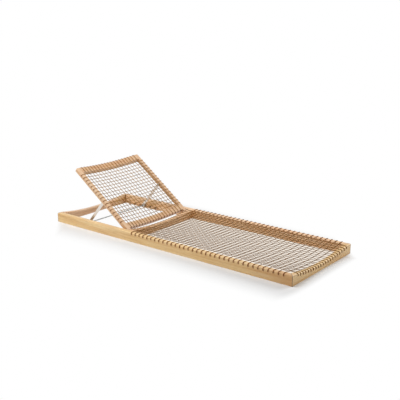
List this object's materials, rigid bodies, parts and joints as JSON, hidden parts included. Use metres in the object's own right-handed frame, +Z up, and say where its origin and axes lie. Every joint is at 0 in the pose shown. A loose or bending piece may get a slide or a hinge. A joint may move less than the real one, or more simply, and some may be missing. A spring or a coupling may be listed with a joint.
{
  "type": "sun lounger",
  "caption": "Low teak sun lounger: a frame that lies on the floor with a woven cord net, and a hinged net backrest raised on a swinging metal prop.",
  "frame": {"origin": "on the floor, under the middle of the lounger's outer box", "axes": "+X from the head end to the foot end, +Y to the left of a person lying on it, +Z up"},
  "size_m": [2.004, 0.7158, 0.4203],
  "materials": {
    "teak": "sanded and oiled",
    "dowel": "turned",
    "cord": "matt braid",
    "steel": "satin"
  },
  "bodies": {
    "base": {"left_side_rail": "teak", "right_side_rail": "teak", "head_rail": "teak", "foot_rail": "teak", "mid_rail": "teak", "corner_dowels": "dowel", "mid_rail_dowels": "dowel", "seat_cross_cords": "cord", "seat_long_cords": "cord", "left_rack": "teak", "right_rack": "teak", "hinge_pins": "steel"},
    "backrest": {"back_left_rail": "teak", "back_right_rail": "teak", "back_top_rail": "teak", "back_bottom_rail": "teak", "back_dowels": "dowel", "back_cross_cords": "cord", "back_long_cords": "cord", "prop_bolts": "steel"},
    "prop": {"left_prop_arm": "steel", "right_prop_arm": "steel", "prop_rod": "steel"}
  },
  "joints": [
    {"name": "back_recline", "type": "hinge", "parent": "base", "child": "backrest", "pos_m": [-0.34145, 0, 0.053], "axis": [0, 1, 0], "range_deg": [-36.1, 10.9]},
    {"name": "prop_swing", "type": "hinge", "parent": "backrest", "child": "prop", "pos_m": [-0.57732, 0, 0.22005], "axis": [0, 1, 0], "range_deg": [-24.7, 81.4]}
  ],
  "couplings": [
    {"joint": "prop_swing", "follows": "back_recline", "ratio": -2.2529}
  ]
}
